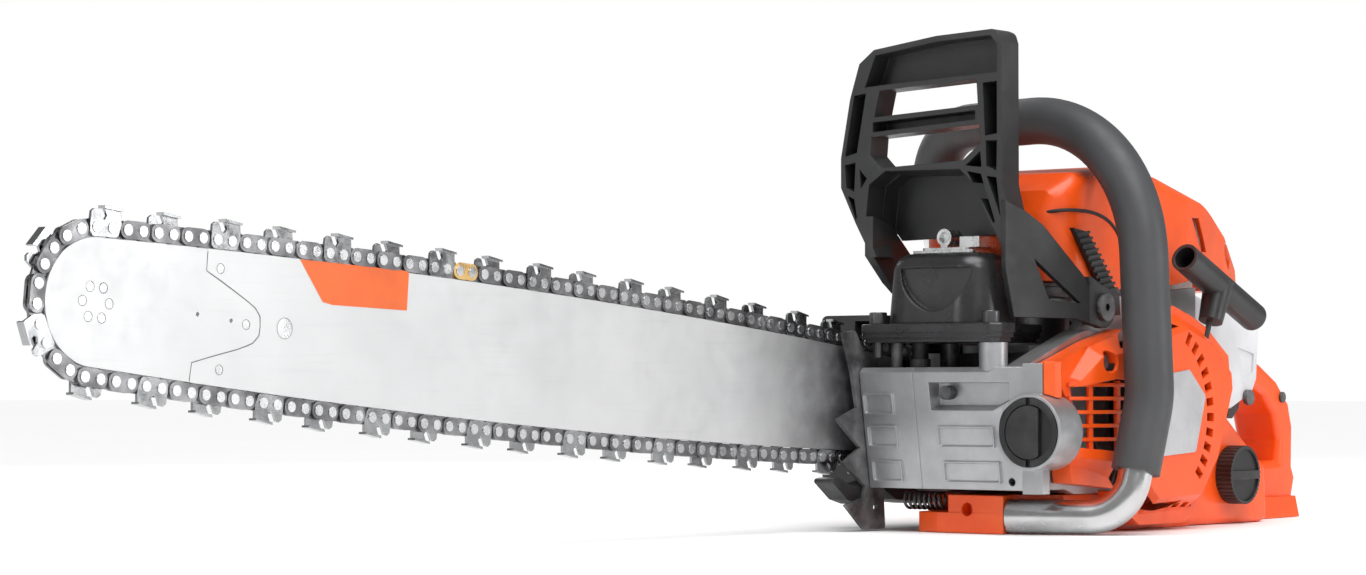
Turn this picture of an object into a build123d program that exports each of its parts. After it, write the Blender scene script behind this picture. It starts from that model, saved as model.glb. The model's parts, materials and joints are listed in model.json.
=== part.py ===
from build123d import *
import os
from math import atan2, cos, degrees, hypot, pi, radians, sin, sqrt

os.makedirs("parts", exist_ok=True)

# Frame in mm: +X towards the bar nose, +Y the operator's left (starter side), +Z up.
# z = 0 is the ground the saw stands on, x = 0 is the crank axis.

# --- engine ---------------------------------------------------------------
crank_z = 70.0            # crank axis height over the ground
cyl_y = -22.0             # cylinder axis and crankcase split plane
bore = 46.0
stroke = 36.0
rod_length = 64.0
web_radius = 27.0
web_gap = 11.0            # free width between the two crank webs
web_thick = 10.0
shaft_radius = 8.0
flywheel_radius = 42.0

# --- guide bar and chain --------------------------------------------------
bar_y = -72.5             # centre plane of bar and chain
bar_angle = 4.45          # bar pitched nose-up, degrees
nose_x = 710.0            # nose centre from the crank axis, along the bar
plate = 1.3               # bar side plates
groove = 1.6              # groove width
groove_depth = 9.5
edge_drop = 4.8           # bar edge below the rivet line
link_count = 84           # drive links in the loop
rivet_step = 9.525
drive_radius = 21.4       # rivet circle on the 7-tooth rim sprocket
nose_radius = 35.35       # rivet circle round the bar nose
link_thick = 1.6
drive_thick = 1.4
strap_height = 8.8

# --- housings -------------------------------------------------------------
case_right = -60.5        # clutch-side wall of the crankcase
case_left = 52.0          # starter-side wall of the crankcase
starter_face = 78.0       # outer face of the starter cover
cover_right = -110.0      # outer face of the clutch cover

# --- handles --------------------------------------------------------------
tube_radius = 10.0
grip_radius = 14.4

ca = cos(radians(bar_angle))
sa = sin(radians(bar_angle))
bar_plane = Plane(origin=(0, bar_y, crank_z), x_dir=(ca, 0, sa), z_dir=(0, -1, 0))


def rivet_line(x):
    """Half height of the bellied rivet line at x along the bar."""
    d = (nose_x - x) / 100.0
    return nose_radius + 3.783 * d - 0.632 * d * d


def loop_points():
    """Rivet path round the bar, starting on top of the nose and running rearwards."""
    pts = [(nose_x - d, rivet_line(nose_x - d)) for d in range(0, 641, 4)]
    tail_x, tail_y = pts[-1]
    reach = hypot(tail_x, tail_y)
    touch = atan2(tail_y, tail_x) + atan2(sqrt(reach**2 - drive_radius**2), drive_radius)
    for i in range(41):
        a = touch + (2 * pi - 2 * touch) * i / 40
        pts.append((drive_radius * cos(a), drive_radius * sin(a)))
    pts += [(nose_x - d, -rivet_line(nose_x - d)) for d in range(640, -1, -4)]
    for i in range(1, 60):
        a = -pi / 2 + pi * i / 60
        pts.append((nose_x + nose_radius * cos(a), nose_radius * sin(a)))
    return pts


def walk(points, count, start):
    """Evenly spaced stations along the closed path."""
    ring = points + [points[0]]
    lengths = [hypot(b[0] - a[0], b[1] - a[1]) for a, b in zip(ring, ring[1:])]
    total = sum(lengths)
    stations = []
    for n in range(count):
        s = (start + n * total / count) % total
        i = 0
        while s > lengths[i]:
            s -= lengths[i]
            i += 1
        t = s / lengths[i]
        a, b = ring[i], ring[i + 1]
        stations.append((a[0] + (b[0] - a[0]) * t, a[1] + (b[1] - a[1]) * t))
    return stations


rivets = walk(loop_points(), 2 * link_count, -2.4)


def link_location(first, second):
    """Place of a link between two rivets, +x of the link pointing along chain travel."""
    (ax, ay), (bx, by) = rivets[first], rivets[second]
    return Location(((ax + bx) / 2, (ay + by) / 2), degrees(atan2(ay - by, ax - bx)))


side_links = [link_location(2 * k, 2 * k + 1) for k in range(link_count)]
drive_places = [link_location(2 * k + 1, (2 * k + 2) % (2 * link_count)) for k in range(link_count)]
rivet_places = [Location((x, y)) for x, y in rivets]
gold_index = 13
left_cutter_places = [p for k, p in enumerate(side_links) if k % 4 == 0]
right_cutter_places = [p for k, p in enumerate(side_links) if k % 4 == 2]
left_strap_places = [p for k, p in enumerate(side_links) if k % 4 != 0 and k != gold_index]
right_strap_places = [p for k, p in enumerate(side_links) if k % 4 != 2]

# bar outline from the tail round the nose, in bar coordinates
bar_top = [(x, rivet_line(x) - edge_drop) for x in range(80, 711, 30)]

# ---------------------------------------------------------------- guide bar
with BuildSketch(mode=Mode.PRIVATE) as bar_outline:
    with BuildLine():
        Polyline((80, -rivet_line(80) + edge_drop), (48, -19), (43, -12), (43, 12), (48, 19),
                 (80, rivet_line(80) - edge_drop))
        Polyline(*bar_top)
        ThreePointArc(bar_top[-1], (nose_x + bar_top[-1][1], 0), (nose_x, -bar_top[-1][1]))
        Polyline(*[(x, -y) for x, y in reversed(bar_top)])
    make_face()

with BuildSketch(mode=Mode.PRIVATE) as bar_core:
    add(bar_outline.sketch)
    offset(amount=-groove_depth)

# nose piece behind a slanted joint with a rounded tongue
tongue = [(642, 60), (642, 22), (612, 9), (604.5, 4), (604.5, -7), (612, -12), (648, -23), (650, -60)]
with BuildSketch(mode=Mode.PRIVATE) as nose_region:
    with BuildLine():
        Polyline(*tongue, (770, -60), (770, 60), tongue[0])
    make_face()
    fillet(nose_region.vertices().filter_by_position(Axis.X, 600, 613), radius=3.4)

nose_rivet_spots = [(nose_x + 8.15 * cos(radians(a)), 8.15 * sin(radians(a))) for a in range(0, 360, 60)]
tongue_rivet_spots = [(633, 24), (630, -25), (614, -1.5)]
plug_spot = (588, -1)

with BuildPart() as guide_bar:
    with BuildSketch(bar_plane):
        add(bar_outline.sketch)
        add(nose_region.sketch, mode=Mode.SUBTRACT)
        with Locations((66, 0)):
            SlotOverall(44, 9, mode=Mode.SUBTRACT)
        with Locations((56, 16), (56, -16)):
            Circle(2.6, mode=Mode.SUBTRACT)
        with Locations(plug_spot):
            Circle(5.2, mode=Mode.SUBTRACT)
        with Locations(*tongue_rivet_spots):
            Circle(2.42, mode=Mode.SUBTRACT)
    extrude(amount=plate + groove / 2, both=True)
    with BuildSketch(bar_plane):
        with BuildLine():
            Polyline((800, -60), (30, -60), (30, 60), (800, 60), (800, -60))
        make_face()
        add(bar_core.sketch, mode=Mode.SUBTRACT)
    extrude(amount=groove / 2, both=True, mode=Mode.SUBTRACT)
guide_bar.part.label = "guide_bar"
export_step(guide_bar.part, "parts/guide_bar.step")

with BuildPart() as bar_nose:
    with BuildSketch(bar_plane):
        add(bar_outline.sketch)
        add(nose_region.sketch, mode=Mode.INTERSECT)
        offset(amount=-0.12)
    extrude(amount=plate + groove / 2, both=True)
    with BuildSketch(bar_plane):
        add(bar_outline.sketch)
        add(bar_core.sketch, mode=Mode.SUBTRACT)
        with Locations((nose_x, 0)):
            Circle(27.0)
    extrude(amount=groove / 2, both=True, mode=Mode.SUBTRACT)
    with BuildSketch(bar_plane):
        with Locations(*nose_rivet_spots, *tongue_rivet_spots):
            Circle(2.45)
        with Locations((646, 0.5), (624, -0.5)):
            Circle(1.1)
    extrude(amount=plate + groove, both=True, mode=Mode.SUBTRACT)
bar_nose.part.label = "bar_nose"
export_step(bar_nose.part, "parts/bar_nose.step")

with BuildPart() as bar_rivets:
    with BuildSketch(bar_plane):
        with Locations(*nose_rivet_spots, *tongue_rivet_spots):
            Circle(2.4)
    extrude(amount=plate + groove / 2, both=True)
    with BuildSketch(bar_plane):
        with Locations(plug_spot):
            Circle(5.15)
    extrude(amount=plate + groove / 2 + 0.05, both=True)
bar_rivets.part.label = "bar_rivets"
export_step(bar_rivets.part, "parts/bar_rivets.step")

# 11-tooth sprocket turning between the nose plates
with BuildPart() as nose_sprocket:
    with BuildSketch(bar_plane):
        with Locations((nose_x, 0)):
            Circle(22.5)
            with PolarLocations(22.6, 11, start_angle=9):
                Rectangle(4.4, 3.6)
            with PolarLocations(8.15, 6):
                Circle(2.7, mode=Mode.SUBTRACT)
            with PolarLocations(16.5, 11):
                Circle(1.8, mode=Mode.SUBTRACT)
    extrude(amount=groove / 2 - 0.05, both=True)
nose_sprocket.part.label = "nose_sprocket"
export_step(nose_sprocket.part, "parts/nose_sprocket.step")

# ---------------------------------------------------------------- saw chain
with BuildPart() as drive_links:
    with BuildSketch(bar_plane):
        with Locations(*drive_places):
            Polygon((-8.1, -1.2), (-7.4, 3.4), (-3.2, 4.2), (3.2, 4.2), (7.4, 3.4), (8.1, -1.2),
                    (3.4, -8.9), (0.6, -8.9), align=None)
        with Locations(*rivet_places):
            Circle(2.1, mode=Mode.SUBTRACT)
    extrude(amount=drive_thick / 2, both=True)
drive_links.part.label = "drive_links"
export_step(drive_links.part, "parts/drive_links.step")

with BuildPart() as tie_straps:
    with BuildSketch(bar_plane.offset(-drive_thick / 2 - 0.02)):
        with Locations(*left_strap_places):
            SlotCenterToCenter(rivet_step, strap_height)
        with Locations(*rivet_places):
            Circle(2.1, mode=Mode.SUBTRACT)
    extrude(amount=-link_thick)
    with BuildSketch(bar_plane.offset(drive_thick / 2 + 0.02)):
        with Locations(*right_strap_places):
            SlotCenterToCenter(rivet_step, strap_height)
        with Locations(*rivet_places):
            Circle(2.1, mode=Mode.SUBTRACT)
    extrude(amount=link_thick)
tie_straps.part.label = "tie_straps"
export_step(tie_straps.part, "parts/tie_straps.step")

with BuildPart() as preset_strap:
    with BuildSketch(bar_plane.offset(-drive_thick / 2 - 0.02)):
        with Locations(side_links[gold_index]):
            SlotCenterToCenter(rivet_step, strap_height)
        with Locations(*rivet_places[2 * gold_index:2 * gold_index + 2]):
            Circle(2.1, mode=Mode.SUBTRACT)
    extrude(amount=-link_thick)
preset_strap.part.label = "preset_strap"
export_step(preset_strap.part, "parts/preset_strap.step")

# side plate with depth gauge in front (+x), gullet, and the sloping heel under the top plate
cutter_side = [(-8.6, -3.2), (-7.0, -4.4), (7.0, -4.4), (8.8, -2.4), (8.9, 1.6), (8.4, 7.2),
               (6.6, 8.6), (4.6, 8.2), (2.6, 4.4), (0.2, 3.4), (-1.2, 5.6), (0.6, 8.9),
               (-9.6, 8.0), (-10.2, 2.0)]
cutter_top = [(1.4, 10.3), (1.1, 8.9), (-9.9, 8.0), (-9.9, 9.1)]

with BuildPart() as cutters_left:
    with BuildSketch(bar_plane.offset(-drive_thick / 2 - 0.02)):
        with Locations(*left_cutter_places):
            Polygon(*cutter_side, align=None)
        with Locations(*rivet_places):
            Circle(2.1, mode=Mode.SUBTRACT)
    extrude(amount=-link_thick)
    with BuildSketch(bar_plane.offset(-3.7)):
        with Locations(*left_cutter_places):
            Polygon(*cutter_top, align=None)
    extrude(amount=5.2)
cutters_left.part.label = "cutters_left"
export_step(cutters_left.part, "parts/cutters_left.step")

with BuildPart() as cutters_right:
    with BuildSketch(bar_plane.offset(drive_thick / 2 + 0.02)):
        with Locations(*right_cutter_places):
            Polygon(*cutter_side, align=None)
        with Locations(*rivet_places):
            Circle(2.1, mode=Mode.SUBTRACT)
    extrude(amount=link_thick)
    with BuildSketch(bar_plane.offset(3.7)):
        with Locations(*right_cutter_places):
            Polygon(*cutter_top, align=None)
    extrude(amount=-5.2)
cutters_right.part.label = "cutters_right"
export_step(cutters_right.part, "parts/cutters_right.step")

head_plane = drive_thick / 2 + 0.02 + link_thick
with BuildPart() as chain_rivets:
    with BuildSketch(bar_plane):
        with Locations(*rivet_places):
            Circle(2.06)
    extrude(amount=head_plane, both=True)
    with BuildSketch(bar_plane.offset(head_plane)):
        with Locations(*rivet_places):
            Circle(2.7)
    extrude(amount=0.5)
    with BuildSketch(bar_plane.offset(-head_plane)):
        with Locations(*rivet_places):
            Circle(2.7)
    extrude(amount=-0.5)
chain_rivets.part.label = "chain_rivets"
export_step(chain_rivets.part, "parts/chain_rivets.step")

# ------------------------------------------------------- crank, rod, piston
axle = Plane(origin=(0, 0, crank_z), x_dir=(1, 0, 0), z_dir=(0, -1, 0))   # offsets run to -Y


def across(y):
    """Sketch plane at y, seen from the starter side; x runs along +X and y along +Z."""
    return Plane(origin=(0, y, 0), x_dir=(1, 0, 0), z_dir=(0, -1, 0))


web_inner = web_gap / 2
web_outer = web_inner + web_thick

with BuildPart() as crankshaft:
    with BuildSketch(axle.offset(-cyl_y + web_inner)):
        Circle(web_radius)
    extrude(amount=web_thick)
    with BuildSketch(axle.offset(-cyl_y - web_inner)):
        Circle(web_radius)
    extrude(amount=-web_thick)
    with BuildSketch(axle.offset(-cyl_y + web_outer)):
        Circle(shaft_radius)
    extrude(amount=60)
    with BuildSketch(axle.offset(-cyl_y - web_outer)):
        Circle(shaft_radius)
    extrude(amount=-57)
    chamfer(crankshaft.edges().filter_by(GeomType.CIRCLE).group_by(Axis.Y)[0], length=1.2)
crankshaft.part.label = "crankshaft"
export_step(crankshaft.part, "parts/crankshaft.step")

pin_top = crank_z + stroke / 2
wrist_z = pin_top + rod_length
crown_z = wrist_z + 18
case_top = 107.0

with BuildPart() as piston:
    with BuildSketch(Plane.XY.offset(wrist_z - 17)):
        with Locations((0, cyl_y)):
            Circle(bore / 2 - 0.06)
    extrude(amount=35)
    fillet(piston.edges().group_by(Axis.Z)[-1], radius=1.5)
    with BuildSketch(Plane.XY.offset(wrist_z - 17)):
        with Locations((0, cyl_y)):
            Circle(bore / 2 - 3.5)
    extrude(amount=29, mode=Mode.SUBTRACT)
    with Locations((0, cyl_y, wrist_z)):
        Cylinder(5.05, 60, rotation=(90, 0, 0), mode=Mode.SUBTRACT)
    with BuildSketch(Plane.XY.offset(wrist_z + 11)):
        with Locations((0, cyl_y)):
            Circle(bore / 2 + 1)
            Circle(bore / 2 - 1.2, mode=Mode.SUBTRACT)
    extrude(amount=1.2, mode=Mode.SUBTRACT)
piston.part.label = "piston"
export_step(piston.part, "parts/piston.step")

with BuildPart() as rod_pins:
    with Locations((0, cyl_y, wrist_z)):
        Cylinder(5, 40, rotation=(90, 0, 0))
        Cylinder(3, 41, rotation=(90, 0, 0), mode=Mode.SUBTRACT)
    with Locations((0, cyl_y, pin_top)):
        Cylinder(7, web_gap - 0.8, rotation=(90, 0, 0))
rod_pins.part.label = "rod_pins"
export_step(rod_pins.part, "parts/rod_pins.step")

with BuildPart() as connecting_rod:
    with BuildSketch(across(cyl_y)):
        with Locations((0, pin_top)):
            Circle(12)
        with Locations((0, wrist_z)):
            Circle(8.5)
        Polygon((-6, pin_top), (6, pin_top), (4.5, wrist_z), (-4.5, wrist_z), align=None)
        with Locations((0, pin_top)):
            Circle(7.1, mode=Mode.SUBTRACT)
        with Locations((0, wrist_z)):
            Circle(5.05, mode=Mode.SUBTRACT)
    extrude(amount=4.5, both=True)
connecting_rod.part.label = "connecting_rod"
export_step(connecting_rod.part, "parts/connecting_rod.step")

with BuildPart() as flywheel:
    with BuildSketch(across(47)):
        with Locations((0, crank_z)):
            Circle(flywheel_radius - 9)
            Circle(shaft_radius + 0.02, mode=Mode.SUBTRACT)
    extrude(amount=16)
    with BuildSketch(across(47)):
        with Locations((0, crank_z)):
            with PolarLocations(flywheel_radius - 7, 18):
                Rectangle(16, 1.8, rotation=18)
            Circle(flywheel_radius - 12, mode=Mode.SUBTRACT)
    extrude(amount=13)
    with BuildSketch(across(33.5)):
        with Locations((0, crank_z)):
            Circle(flywheel_radius)
            Circle(shaft_radius + 0.02, mode=Mode.SUBTRACT)
    extrude(amount=2.5)
flywheel.part.label = "flywheel"
export_step(flywheel.part, "parts/flywheel.step")

with BuildPart() as clutch_hub:
    with BuildSketch(across(-85)):
        with Locations((0, crank_z)):
            Circle(13)
            with PolarLocations(16, 3):
                Rectangle(16, 11)
            Circle(shaft_radius + 0.02, mode=Mode.SUBTRACT)
    extrude(amount=9)
    with BuildSketch(across(-85.5)):
        with Locations((0, crank_z)):
            Circle(31)
            Circle(14.5, mode=Mode.SUBTRACT)
            with PolarLocations(16, 3):
                Rectangle(18, 12, mode=Mode.SUBTRACT)
            with PolarLocations(24, 3, start_angle=60):
                Rectangle(22, 1.6, mode=Mode.SUBTRACT)
            with PolarLocations(30, 3):
                Rectangle(12, 2, mode=Mode.SUBTRACT)
    extrude(amount=8)
clutch_hub.part.label = "clutch_hub"
export_step(clutch_hub.part, "parts/clutch_hub.step")

# drum with its grooved rim sprocket; the chain's tangs run in the groove
with BuildPart() as clutch_drum:
    with BuildSketch(across(-80.5)):
        with Locations((0, crank_z)):
            Circle(35)
    extrude(amount=17)
    with BuildSketch(across(-82.5)):
        with Locations((0, crank_z)):
            Circle(33)
    extrude(amount=16, mode=Mode.SUBTRACT)
    with BuildSketch(across(-67.5)):
        with Locations((0, crank_z)):
            Circle(16.4)
    extrude(amount=13)
    with BuildSketch(across(bar_y + 0.9)):
        with Locations((0, crank_z)):
            Circle(17)
            Circle(11.8, mode=Mode.SUBTRACT)
    extrude(amount=1.8, mode=Mode.SUBTRACT)
    with BuildSketch(across(-60)):
        with Locations((0, crank_z)):
            Circle(shaft_radius + 0.3)
    extrude(amount=40, mode=Mode.SUBTRACT)
    with BuildSketch(across(-80)):
        with Locations((0, crank_z)):
            with PolarLocations(24, 6):
                Circle(3.5)
    extrude(amount=4, mode=Mode.SUBTRACT)
clutch_drum.part.label = "clutch_drum"
export_step(clutch_drum.part, "parts/clutch_drum.step")

with BuildPart() as brake_band:
    with BuildSketch(across(-83)):
        with Locations((0, crank_z)):
            Circle(37.4)
            Circle(36.2, mode=Mode.SUBTRACT)
            with Locations((42, 8)):
                Rectangle(20, 9, mode=Mode.SUBTRACT)
    extrude(amount=13)
brake_band.part.label = "brake_band"
export_step(brake_band.part, "parts/brake_band.step")

# ------------------------------------------------------------------ crankcase
front_top = 121.0
front_low = 110.0
case_floor = 26.0

with BuildPart() as crankcase_right:
    with BuildSketch(across(cyl_y - 0.1)):
        Polygon((front_low, case_floor), (front_top, 95), (118, 98), (62, 98), (56, case_top),
                (-50, case_top), (-56, 96), (-56, 40), (-40, 23), (60, 23), (70, case_floor), align=None)
    extrude(amount=cyl_y - 0.1 - case_right)
    fillet(crankcase_right.edges().filter_by(Axis.Y).sort_by(Axis.Z)[:1], radius=4)
    with BuildSketch(across(cyl_y + 1)):
        with Locations((0, crank_z)):
            Circle(web_radius + 5)
    extrude(amount=web_outer + 3, mode=Mode.SUBTRACT)
    with BuildSketch(across(cyl_y)):
        with Locations((0, crank_z)):
            Circle(shaft_radius + 0.08)
    extrude(amount=60, mode=Mode.SUBTRACT)
    with Locations((0, cyl_y, case_top)):
        Cylinder(26.2, 60, mode=Mode.SUBTRACT)
    # raised panels on the front face
    lean = degrees(atan2(front_top - front_low, 95 - case_floor))
    face = Plane(origin=(front_low, 0, case_floor), x_dir=(0, 1, 0), z_dir=(cos(radians(lean)), 0, -sin(radians(lean))))
    with BuildSketch(face):
        with Locations((-48, 51), (-47, 31.5), (-46, 10.5)):
            RectangleRounded(22, 13, 1.2)
    extrude(amount=1.6)
    with BuildSketch(face):
        with Locations((-48, 51), (-47, 31.5), (-46, 10.5)):
            RectangleRounded(19, 10, 0.8)
    extrude(amount=1.8, taper=-20, mode=Mode.SUBTRACT)
    with BuildSketch(across(case_right - 1)):
        with Locations((52, 73.9), (80, 76)):
            Circle(4.03)
    extrude(amount=-12, mode=Mode.SUBTRACT)
    with BuildSketch(across(-63.8)):
        with Locations((66, 70)):
            RectangleRounded(46, 40, 6)
        with Locations((52, 73.9), (80, 76)):
            Circle(4.1, mode=Mode.SUBTRACT)
    extrude(amount=5.9)
crankcase_right.part.label = "crankcase_right"
export_step(crankcase_right.part, "parts/crankcase_right.step")

pivot_x = 35.0
pivot_z = 134.0
oil_y = 56.5
oil_z = 60.0

with BuildPart() as crankcase_left:
    with BuildSketch(across(cyl_y + 0.1)):
        Polygon((front_low, case_floor), (front_top, 95), (118, 98), (62, 98), (56, case_top),
                (-50, case_top), (-56, 96), (-56, 40), (-40, 23), (60, 23), (70, case_floor), align=None)
    extrude(amount=-(case_left - cyl_y - 0.1))
    with BuildSketch(across(20)):
        with Locations((0, crank_z)):
            Circle(47)
    extrude(amount=-(case_left - 20))
    # upper side wall up to the guard pivot and along the top cover
    with BuildSketch(across(38)):
        Polygon((48, 118), (22, 140), (-60, 146), (-91, 149), (-91, 100), (-40, 90), (48, 90), align=None)
    extrude(amount=-7.5)
    with BuildSketch(across(38)):
        Polygon((116, 96), (104, 101), (58, 117), (48, 120), (-50, 120), (-50, 90), (60, 90), align=None)
        with Locations((pivot_x, pivot_z)):
            Circle(10.6)
    extrude(amount=-(case_left - 38))
    # front face folds back towards the starter side
    with BuildSketch(Plane.XY.offset(15)):
        Polygon((122, 31), (132, 31), (132, 60), (106.5, 60), align=None)
    extrude(amount=90, mode=Mode.SUBTRACT)
    # cheek in front of the starter cover
    with BuildSketch(Plane.XY.offset(24)):
        Polygon((100.4, 50), (111.8, 50), (107.9, 61.3), (100.4, 61.3), align=None)
    extrude(amount=76)
    # muffler boss
    with Locations((112, 30, 92)):
        Cylinder(8.4, 20.5, align=(Align.CENTER, Align.CENTER, Align.MIN))
    with Locations((116, 31, 102)):
        Cylinder(3.2, 20, align=(Align.CENTER, Align.CENTER, Align.MIN), mode=Mode.SUBTRACT)
    # raised panels and the long recess on the front face
    with BuildSketch(face):
        with Locations((13, 31.5), (15, 10.5)):
            RectangleRounded(40, 13, 1.2)
    extrude(amount=1.6)
    with BuildSketch(face):
        with Locations((13, 31.5), (15, 10.5)):
            RectangleRounded(37, 10, 0.8)
    extrude(amount=1.8, taper=-20, mode=Mode.SUBTRACT)
    with BuildSketch(face.offset(0.5)):
        Polygon((-11, 47), (33, 47), (44, 52), (44, 64), (-11, 64), align=None)
    extrude(amount=-9, taper=12, mode=Mode.SUBTRACT)
    # filler ring of the oil tank
    with BuildSketch(Plane.YZ.offset(92)):
        with Locations((oil_y, oil_z)):
            Circle(22.3)
    extrude(amount=23.5)
    with BuildSketch(Plane.YZ.offset(100)):
        with Locations((oil_y, oil_z)):
            Circle(20.3)
    extrude(amount=30, mode=Mode.SUBTRACT)
    with BuildSketch(Plane.YZ.offset(80)):
        with Locations((oil_y - 10, oil_z)):
            Circle(9)
    extrude(amount=30, mode=Mode.SUBTRACT)
    # crank chamber, bearing bore, flywheel chamber, cylinder mouth, pivot hole
    with BuildSketch(across(cyl_y - 1)):
        with Locations((0, crank_z)):
            Circle(web_radius + 5)
    extrude(amount=-(web_outer + 4), mode=Mode.SUBTRACT)
    with BuildSketch(across(cyl_y)):
        with Locations((0, crank_z)):
            Circle(shaft_radius + 0.08)
    extrude(amount=-60, mode=Mode.SUBTRACT)
    with BuildSketch(across(case_left + 1)):
        with Locations((0, crank_z)):
            Circle(flywheel_radius + 2.5)
    extrude(amount=24, mode=Mode.SUBTRACT)
    with Locations((0, cyl_y, case_top)):
        Cylinder(26.2, 60, mode=Mode.SUBTRACT)
    with Locations((pivot_x, 48, pivot_z)):
        Cylinder(4.05, 30, rotation=(90, 0, 0), mode=Mode.SUBTRACT)
    with Locations((104, 42, 31)):
        Cylinder(2.4, 20, rotation=(0, 90, 0), mode=Mode.SUBTRACT)
crankcase_left.part.label = "crankcase_left"
export_step(crankcase_left.part, "parts/crankcase_left.step")

# ------------------------------------------------------- cylinder and exhaust
fin_side = 74.0
with BuildPart() as cylinder:
    with BuildSketch(Plane.XY.offset(case_top + 0.1)):
        with Locations((0, cyl_y)):
            RectangleRounded(60, 60, 8)
    extrude(amount=5)
    with BuildSketch(Plane.XY.offset(case_top + 0.1)):
        with Locations((0, cyl_y)):
            Circle(29)
    extrude(amount=80)
    for n in range(10):
        with BuildSketch(Plane.XY.offset(case_top + 22 + 6.2 * n)):
            with Locations((0, cyl_y)):
                RectangleRounded(fin_side, fin_side, 16)
        extrude(amount=2.2)
    with BuildSketch(Plane.YZ.offset(20)):
        with Locations((cyl_y, 146)):
            RectangleRounded(38, 30, 4)
    extrude(amount=22)
    with BuildSketch(Plane.YZ.offset(-42)):
        with Locations((cyl_y, 146)):
            RectangleRounded(34, 26, 4)
    extrude(amount=22)
    with BuildSketch(Plane.YZ.offset(-50)):
        with Locations((cyl_y, 146)):
            Circle(9)
    extrude(amount=100, mode=Mode.SUBTRACT)
    with Locations((0, cyl_y, case_top - 1)):
        Cylinder(bore / 2, 66.5, align=(Align.CENTER, Align.CENTER, Align.MIN), mode=Mode.SUBTRACT)
    with Locations((0, cyl_y, 170)):
        Cylinder(5, 30, align=(Align.CENTER, Align.CENTER, Align.MIN), mode=Mode.SUBTRACT)
    with Locations((0, cyl_y + 20, 180)):
        Cylinder(4.05, 30, align=(Align.CENTER, Align.CENTER, Align.MIN), mode=Mode.SUBTRACT)
cylinder.part.label = "cylinder"
export_step(cylinder.part, "parts/cylinder.step")

with BuildPart() as spark_plug:
    with Locations((0, cyl_y, 176)):
        Cylinder(4.9, 12, align=(Align.CENTER, Align.CENTER, Align.MIN))
    with Locations((0, cyl_y, 187.3)):
        Cylinder(8, 7, align=(Align.CENTER, Align.CENTER, Align.MIN))
        Cylinder(9.5, 17, align=(Align.CENTER, Align.CENTER, Align.MIN))
    fillet(spark_plug.edges().group_by(Axis.Z)[-1], radius=3)
spark_plug.part.label = "spark_plug"
export_step(spark_plug.part, "parts/spark_plug.step")

with BuildPart() as decompression_valve:
    with Locations((0, cyl_y + 20, 184)):
        Cylinder(4, 14, align=(Align.CENTER, Align.CENTER, Align.MIN))
    with Locations((0, cyl_y + 20, 194)):
        Cylinder(5.6, 6, align=(Align.CENTER, Align.CENTER, Align.MIN))
    fillet(decompression_valve.edges().group_by(Axis.Z)[-1], radius=1)
decompression_valve.part.label = "decompression_valve"
export_step(decompression_valve.part, "parts/decompression_valve.step")

muffler_y = -13.5
with BuildPart() as muffler:
    with BuildSketch(Plane.XY.offset(124)):
        with Locations((91, muffler_y)):
            RectangleRounded(50, 76, 20)
    extrude(amount=42, taper=5)
    fillet(muffler.edges().group_by(Axis.Z)[-1], radius=11)
    # inlet neck against the exhaust port
    with BuildSketch(Plane.YZ.offset(42.2)):
        with Locations((cyl_y, 146)):
            RectangleRounded(36, 28, 4)
    extrude(amount=28)
    # pressed U-shaped dent in the front
    with BuildSketch(Plane.YZ.offset(119)):
        with BuildLine():
            Polyline((-36, 157), (14, 157))
            Spline((14, 157), (6, 139), (-10, 131), (-28, 139), (-36, 157))
        make_face()
    extrude(amount=-9, mode=Mode.SUBTRACT)
    with BuildSketch(Plane.YZ.offset(40)):
        with Locations((cyl_y, 146)):
            Circle(9)
    extrude(amount=44, mode=Mode.SUBTRACT)
muffler.part.label = "muffler"
export_step(muffler.part, "parts/muffler.step")

with BuildPart() as muffler_flange:
    with BuildSketch(Plane.XY.offset(118.6)):
        Polygon((104, 40), (118, 40), (123, 35), (123, -56), (118, -61), (104, -61), (92, -52), (48, -52),
                (48, 22), (98, 22), align=None)
        with Locations((116, 31), (116, -50)):
            Circle(3.1, mode=Mode.SUBTRACT)
    extrude(amount=5.3)
    fillet(muffler_flange.edges().group_by(Axis.Z)[-1], radius=1)
    for level, inset in ((115.4, 0.8), (112.8, 2.2)):
        with BuildSketch(Plane.XY.offset(level)):
            Polygon((104, 40), (118, 40), (123, 35), (123, -56), (118, -61), (104, -61), (92, -52), (48, -52),
                    (48, 22), (98, 22), align=None)
            offset(amount=-inset)
            with Locations((116, 31), (116, -50)):
                Circle(3.1, mode=Mode.SUBTRACT)
        extrude(amount=3.2 if inset < 1 else 2.6)
muffler_flange.part.label = "muffler_flange"
export_step(muffler_flange.part, "parts/muffler_flange.step")

with BuildPart() as exhaust_stubs:
    with Locations((108, -42, 98.1)):
        Cylinder(3.4, 14.4, align=(Align.CENTER, Align.CENTER, Align.MIN))
    with Locations((98, -32, 98.1)):
        Cylinder(6.2, 5, align=(Align.CENTER, Align.CENTER, Align.MIN))
        Cylinder(5, 14.4, align=(Align.CENTER, Align.CENTER, Align.MIN))
    with Locations((70, -30, 98.1), (70, 4, 98.1)):
        Cylinder(6, 14.4, align=(Align.CENTER, Align.CENTER, Align.MIN))
exhaust_stubs.part.label = "exhaust_stubs"
export_step(exhaust_stubs.part, "parts/exhaust_stubs.step")

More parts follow.
